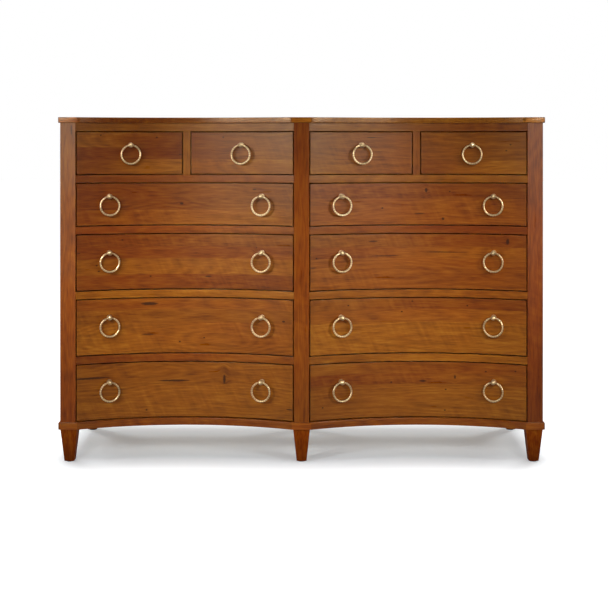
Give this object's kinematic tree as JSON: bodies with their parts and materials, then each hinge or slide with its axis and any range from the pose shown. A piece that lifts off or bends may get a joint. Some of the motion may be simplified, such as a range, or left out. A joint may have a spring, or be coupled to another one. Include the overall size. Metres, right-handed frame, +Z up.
{
  "type": "dresser",
  "caption": "Wide chest of drawers with two concave bays between flat posts, small drawers over wide ones, brass ring pulls and tapered feet.",
  "frame": {"origin": "on the floor, under the middle of the top", "axes": "+Z up, the front faces -Y, +X to the viewer's right"},
  "size_m": [1.626, 0.52, 1.155],
  "materials": {
    "cherry": "satin",
    "plain_wood": "matte",
    "brass": "satin",
    "glide": "matte"
  },
  "bodies": {
    "case": {"top_panel": "cherry", "left_front_post": "cherry", "centre_front_post": "cherry", "right_front_post": "cherry", "rear_posts": "cherry", "left_side_panel": "cherry", "right_side_panel": "cherry", "centre_partition": "plain_wood", "back_panel": "plain_wood", "bottom_panel": "plain_wood", "base_frame": "cherry", "tapered_feet": "cherry", "floor_glides": "glide", "drawer_rails": "cherry", "small_drawer_dividers": "cherry", "drawer_runners": "plain_wood"},
    "small_drawer_1": {"small_drawer_1_box": "cherry", "small_drawer_1_pull_posts": "brass"},
    "small_drawer_1_ring_1": {"small_drawer_1_ring_1": "brass"},
    "small_drawer_2": {"small_drawer_2_box": "cherry", "small_drawer_2_pull_posts": "brass"},
    "small_drawer_2_ring_1": {"small_drawer_2_ring_1": "brass"},
    "small_drawer_3": {"small_drawer_3_box": "cherry", "small_drawer_3_pull_posts": "brass"},
    "small_drawer_3_ring_1": {"small_drawer_3_ring_1": "brass"},
    "small_drawer_4": {"small_drawer_4_box": "cherry", "small_drawer_4_pull_posts": "brass"},
    "small_drawer_4_ring_1": {"small_drawer_4_ring_1": "brass"},
    "row_2_left_drawer": {"row_2_left_drawer_box": "cherry", "row_2_left_drawer_pull_posts": "brass"},
    "row_2_left_drawer_ring_1": {"row_2_left_drawer_ring_1": "brass"},
    "row_2_left_drawer_ring_2": {"row_2_left_drawer_ring_2": "brass"},
    "row_2_right_drawer": {"row_2_right_drawer_box": "cherry", "row_2_right_drawer_pull_posts": "brass"},
    "row_2_right_drawer_ring_1": {"row_2_right_drawer_ring_1": "brass"},
    "row_2_right_drawer_ring_2": {"row_2_right_drawer_ring_2": "brass"},
    "row_3_left_drawer": {"row_3_left_drawer_box": "cherry", "row_3_left_drawer_pull_posts": "brass"},
    "row_3_left_drawer_ring_1": {"row_3_left_drawer_ring_1": "brass"},
    "row_3_left_drawer_ring_2": {"row_3_left_drawer_ring_2": "brass"},
    "row_3_right_drawer": {"row_3_right_drawer_box": "cherry", "row_3_right_drawer_pull_posts": "brass"},
    "row_3_right_drawer_ring_1": {"row_3_right_drawer_ring_1": "brass"},
    "row_3_right_drawer_ring_2": {"row_3_right_drawer_ring_2": "brass"},
    "row_4_left_drawer": {"row_4_left_drawer_box": "cherry", "row_4_left_drawer_pull_posts": "brass"},
    "row_4_left_drawer_ring_1": {"row_4_left_drawer_ring_1": "brass"},
    "row_4_left_drawer_ring_2": {"row_4_left_drawer_ring_2": "brass"},
    "row_4_right_drawer": {"row_4_right_drawer_box": "cherry", "row_4_right_drawer_pull_posts": "brass"},
    "row_4_right_drawer_ring_1": {"row_4_right_drawer_ring_1": "brass"},
    "row_4_right_drawer_ring_2": {"row_4_right_drawer_ring_2": "brass"},
    "row_5_left_drawer": {"row_5_left_drawer_box": "cherry", "row_5_left_drawer_pull_posts": "brass"},
    "row_5_left_drawer_ring_1": {"row_5_left_drawer_ring_1": "brass"},
    "row_5_left_drawer_ring_2": {"row_5_left_drawer_ring_2": "brass"},
    "row_5_right_drawer": {"row_5_right_drawer_box": "cherry", "row_5_right_drawer_pull_posts": "brass"},
    "row_5_right_drawer_ring_1": {"row_5_right_drawer_ring_1": "brass"},
    "row_5_right_drawer_ring_2": {"row_5_right_drawer_ring_2": "brass"}
  },
  "joints": [
    {"name": "small_drawer_1_slide", "type": "slide", "parent": "case", "child": "small_drawer_1", "axis": [0, -1, 0], "range_m": [0, 0.34]},
    {"name": "small_drawer_1_ring_1_swing", "type": "hinge", "parent": "small_drawer_1", "child": "small_drawer_1_ring_1", "pos_m": [-0.57537, -0.21683, 1.0615], "axis": [-0.9795, -0.2017, 0], "range_deg": [-10, 170]},
    {"name": "small_drawer_2_slide", "type": "slide", "parent": "case", "child": "small_drawer_2", "axis": [0, -1, 0], "range_m": [0, 0.34]},
    {"name": "small_drawer_2_ring_1_swing", "type": "hinge", "parent": "small_drawer_2", "child": "small_drawer_2_ring_1", "pos_m": [-0.20563, -0.21683, 1.0615], "axis": [-0.9795, 0.2017, 0], "range_deg": [-10, 170]},
    {"name": "small_drawer_3_slide", "type": "slide", "parent": "case", "child": "small_drawer_3", "axis": [0, -1, 0], "range_m": [0, 0.34]},
    {"name": "small_drawer_3_ring_1_swing", "type": "hinge", "parent": "small_drawer_3", "child": "small_drawer_3_ring_1", "pos_m": [0.20563, -0.21683, 1.0615], "axis": [-0.9795, -0.2017, 0], "range_deg": [-10, 170]},
    {"name": "small_drawer_4_slide", "type": "slide", "parent": "case", "child": "small_drawer_4", "axis": [0, -1, 0], "range_m": [0, 0.34]},
    {"name": "small_drawer_4_ring_1_swing", "type": "hinge", "parent": "small_drawer_4", "child": "small_drawer_4_ring_1", "pos_m": [0.57537, -0.21683, 1.0615], "axis": [-0.9795, 0.2017, 0], "range_deg": [-10, 170]},
    {"name": "row_2_left_drawer_slide", "type": "slide", "parent": "case", "child": "row_2_left_drawer", "axis": [0, -1, 0], "range_m": [0, 0.34]},
    {"name": "row_2_left_drawer_ring_1_swing", "type": "hinge", "parent": "row_2_left_drawer", "child": "row_2_left_drawer_ring_1", "pos_m": [-0.64353, -0.23361, 0.88875], "axis": [-0.9612, -0.276, 0], "range_deg": [-10, 170]},
    {"name": "row_2_left_drawer_ring_2_swing", "type": "hinge", "parent": "row_2_left_drawer", "child": "row_2_left_drawer_ring_2", "pos_m": [-0.13747, -0.23361, 0.88875], "axis": [-0.9612, 0.276, 0], "range_deg": [-10, 170]},
    {"name": "row_2_right_drawer_slide", "type": "slide", "parent": "case", "child": "row_2_right_drawer", "axis": [0, -1, 0], "range_m": [0, 0.34]},
    {"name": "row_2_right_drawer_ring_1_swing", "type": "hinge", "parent": "row_2_right_drawer", "child": "row_2_right_drawer_ring_1", "pos_m": [0.13747, -0.23361, 0.88875], "axis": [-0.9612, -0.276, 0], "range_deg": [-10, 170]},
    {"name": "row_2_right_drawer_ring_2_swing", "type": "hinge", "parent": "row_2_right_drawer", "child": "row_2_right_drawer_ring_2", "pos_m": [0.64353, -0.23361, 0.88875], "axis": [-0.9612, 0.276, 0], "range_deg": [-10, 170]},
    {"name": "row_3_left_drawer_slide", "type": "slide", "parent": "case", "child": "row_3_left_drawer", "axis": [0, -1, 0], "range_m": [0, 0.34]},
    {"name": "row_3_left_drawer_ring_1_swing", "type": "hinge", "parent": "row_3_left_drawer", "child": "row_3_left_drawer_ring_1", "pos_m": [-0.64353, -0.23361, 0.69875], "axis": [-0.9612, -0.276, 0], "range_deg": [-10, 170]},
    {"name": "row_3_left_drawer_ring_2_swing", "type": "hinge", "parent": "row_3_left_drawer", "child": "row_3_left_drawer_ring_2", "pos_m": [-0.13747, -0.23361, 0.69875], "axis": [-0.9612, 0.276, 0], "range_deg": [-10, 170]},
    {"name": "row_3_right_drawer_slide", "type": "slide", "parent": "case", "child": "row_3_right_drawer", "axis": [0, -1, 0], "range_m": [0, 0.34]},
    {"name": "row_3_right_drawer_ring_1_swing", "type": "hinge", "parent": "row_3_right_drawer", "child": "row_3_right_drawer_ring_1", "pos_m": [0.13747, -0.23361, 0.69875], "axis": [-0.9612, -0.276, 0], "range_deg": [-10, 170]},
    {"name": "row_3_right_drawer_ring_2_swing", "type": "hinge", "parent": "row_3_right_drawer", "child": "row_3_right_drawer_ring_2", "pos_m": [0.64353, -0.23361, 0.69875], "axis": [-0.9612, 0.276, 0], "range_deg": [-10, 170]},
    {"name": "row_4_left_drawer_slide", "type": "slide", "parent": "case", "child": "row_4_left_drawer", "axis": [0, -1, 0], "range_m": [0, 0.34]},
    {"name": "row_4_left_drawer_ring_1_swing", "type": "hinge", "parent": "row_4_left_drawer", "child": "row_4_left_drawer_ring_1", "pos_m": [-0.64353, -0.23361, 0.48125], "axis": [-0.9612, -0.276, 0], "range_deg": [-10, 170]},
    {"name": "row_4_left_drawer_ring_2_swing", "type": "hinge", "parent": "row_4_left_drawer", "child": "row_4_left_drawer_ring_2", "pos_m": [-0.13747, -0.23361, 0.48125], "axis": [-0.9612, 0.276, 0], "range_deg": [-10, 170]},
    {"name": "row_4_right_drawer_slide", "type": "slide", "parent": "case", "child": "row_4_right_drawer", "axis": [0, -1, 0], "range_m": [0, 0.34]},
    {"name": "row_4_right_drawer_ring_1_swing", "type": "hinge", "parent": "row_4_right_drawer", "child": "row_4_right_drawer_ring_1", "pos_m": [0.13747, -0.23361, 0.48125], "axis": [-0.9612, -0.276, 0], "range_deg": [-10, 170]},
    {"name": "row_4_right_drawer_ring_2_swing", "type": "hinge", "parent": "row_4_right_drawer", "child": "row_4_right_drawer_ring_2", "pos_m": [0.64353, -0.23361, 0.48125], "axis": [-0.9612, 0.276, 0], "range_deg": [-10, 170]},
    {"name": "row_5_left_drawer_slide", "type": "slide", "parent": "case", "child": "row_5_left_drawer", "axis": [0, -1, 0], "range_m": [0, 0.34]},
    {"name": "row_5_left_drawer_ring_1_swing", "type": "hinge", "parent": "row_5_left_drawer", "child": "row_5_left_drawer_ring_1", "pos_m": [-0.64353, -0.23361, 0.26375], "axis": [-0.9612, -0.276, 0], "range_deg": [-10, 170]},
    {"name": "row_5_left_drawer_ring_2_swing", "type": "hinge", "parent": "row_5_left_drawer", "child": "row_5_left_drawer_ring_2", "pos_m": [-0.13747, -0.23361, 0.26375], "axis": [-0.9612, 0.276, 0], "range_deg": [-10, 170]},
    {"name": "row_5_right_drawer_slide", "type": "slide", "parent": "case", "child": "row_5_right_drawer", "axis": [0, -1, 0], "range_m": [0, 0.34]},
    {"name": "row_5_right_drawer_ring_1_swing", "type": "hinge", "parent": "row_5_right_drawer", "child": "row_5_right_drawer_ring_1", "pos_m": [0.13747, -0.23361, 0.26375], "axis": [-0.9612, -0.276, 0], "range_deg": [-10, 170]},
    {"name": "row_5_right_drawer_ring_2_swing", "type": "hinge", "parent": "row_5_right_drawer", "child": "row_5_right_drawer_ring_2", "pos_m": [0.64353, -0.23361, 0.26375], "axis": [-0.9612, 0.276, 0], "range_deg": [-10, 170]}
  ]
}
